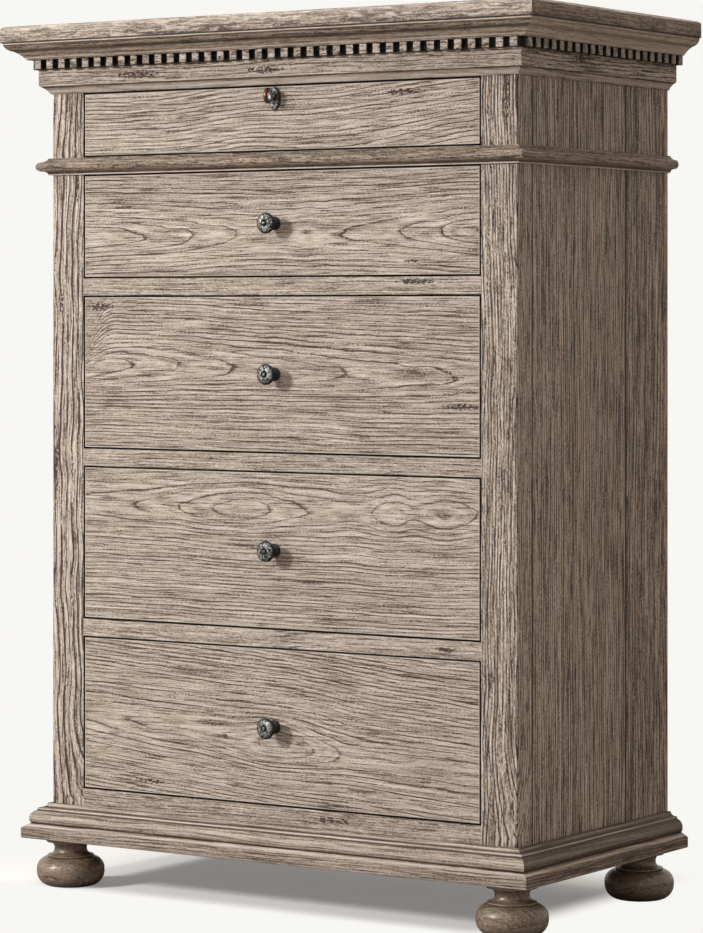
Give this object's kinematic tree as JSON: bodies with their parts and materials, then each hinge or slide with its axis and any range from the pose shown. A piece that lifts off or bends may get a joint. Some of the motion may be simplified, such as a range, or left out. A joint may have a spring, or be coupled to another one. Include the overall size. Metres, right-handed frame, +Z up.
{
  "type": "chest of drawers",
  "caption": "Tall oak chest of drawers with dentil cornice, waist and base mouldings, bun feet, knobs and a lock with its key in the top drawer.",
  "frame": {"origin": "on the floor, under the centre of the bounding box", "axes": "+X to the right across the front, +Y from front to back, +Z up; drawers pull out along -Y"},
  "size_m": [1.024, 0.5404, 1.4265],
  "materials": {
    "weathered_oak": "weathered, wire-brushed",
    "inner_oak": "plain, planed",
    "dark_pewter": "dark, chased, worn bright",
    "lock_steel": "dull",
    "rusty_iron": "rust-brown, rubbed"
  },
  "bodies": {
    "case": {"front_post_left": "weathered_oak", "front_post_right": "weathered_oak", "side_panel_left": "weathered_oak", "side_panel_right": "weathered_oak", "top_rail": "weathered_oak", "drawer_rails": "weathered_oak", "bottom_rail": "weathered_oak", "top_board": "weathered_oak", "back_boards": "weathered_oak", "bottom_panel": "inner_oak", "drawer_runners": "inner_oak", "drawer_stops": "inner_oak", "frieze_front": "weathered_oak", "frieze_left": "weathered_oak", "frieze_right": "weathered_oak", "crown_front": "weathered_oak", "crown_left": "weathered_oak", "crown_right": "weathered_oak", "waist_moulding_front": "weathered_oak", "waist_moulding_left": "weathered_oak", "waist_moulding_right": "weathered_oak", "base_moulding_front": "weathered_oak", "base_moulding_left": "weathered_oak", "base_moulding_right": "weathered_oak", "plinth_front": "weathered_oak", "plinth_left": "weathered_oak", "plinth_right": "weathered_oak", "dentils_front": "weathered_oak", "dentils_sides": "weathered_oak", "plinth_back": "weathered_oak", "front_feet": "weathered_oak", "rear_feet": "weathered_oak"},
    "drawer_1": {"drawer_1_front": "weathered_oak", "drawer_1_sides": "inner_oak", "drawer_1_back": "inner_oak", "drawer_1_bottom": "inner_oak", "escutcheon": "dark_pewter", "lock_case": "lock_steel"},
    "drawer_2": {"drawer_2_front": "weathered_oak", "drawer_2_sides": "inner_oak", "drawer_2_back": "inner_oak", "drawer_2_bottom": "inner_oak", "drawer_2_knob": "dark_pewter"},
    "drawer_3": {"drawer_3_front": "weathered_oak", "drawer_3_sides": "inner_oak", "drawer_3_back": "inner_oak", "drawer_3_bottom": "inner_oak", "drawer_3_knob": "dark_pewter"},
    "drawer_4": {"drawer_4_front": "weathered_oak", "drawer_4_sides": "inner_oak", "drawer_4_back": "inner_oak", "drawer_4_bottom": "inner_oak", "drawer_4_knob": "dark_pewter"},
    "drawer_5": {"drawer_5_front": "weathered_oak", "drawer_5_sides": "inner_oak", "drawer_5_back": "inner_oak", "drawer_5_bottom": "inner_oak", "drawer_5_knob": "dark_pewter"},
    "key": {"key": "rusty_iron"},
    "lock_bolt": {"lock_bolt": "lock_steel"}
  },
  "joints": [
    {"name": "drawer_1_slide", "type": "slide", "parent": "case", "child": "drawer_1", "axis": [0, -1, 0], "range_m": [0, 0.32]},
    {"name": "drawer_2_slide", "type": "slide", "parent": "case", "child": "drawer_2", "axis": [0, -1, 0], "range_m": [0, 0.32]},
    {"name": "drawer_3_slide", "type": "slide", "parent": "case", "child": "drawer_3", "axis": [0, -1, 0], "range_m": [0, 0.32]},
    {"name": "drawer_4_slide", "type": "slide", "parent": "case", "child": "drawer_4", "axis": [0, -1, 0], "range_m": [0, 0.32]},
    {"name": "drawer_5_slide", "type": "slide", "parent": "case", "child": "drawer_5", "axis": [0, -1, 0], "range_m": [0, 0.32]},
    {"name": "key_turn", "type": "hinge", "parent": "drawer_1", "child": "key", "pos_m": [0, -0.20825, 1.2971], "axis": [0, 1, 0], "range_deg": [0, 180]},
    {"name": "bolt_throw", "type": "slide", "parent": "drawer_1", "child": "lock_bolt", "axis": [0, 0, 1], "range_m": [0, 0.007]}
  ]
}
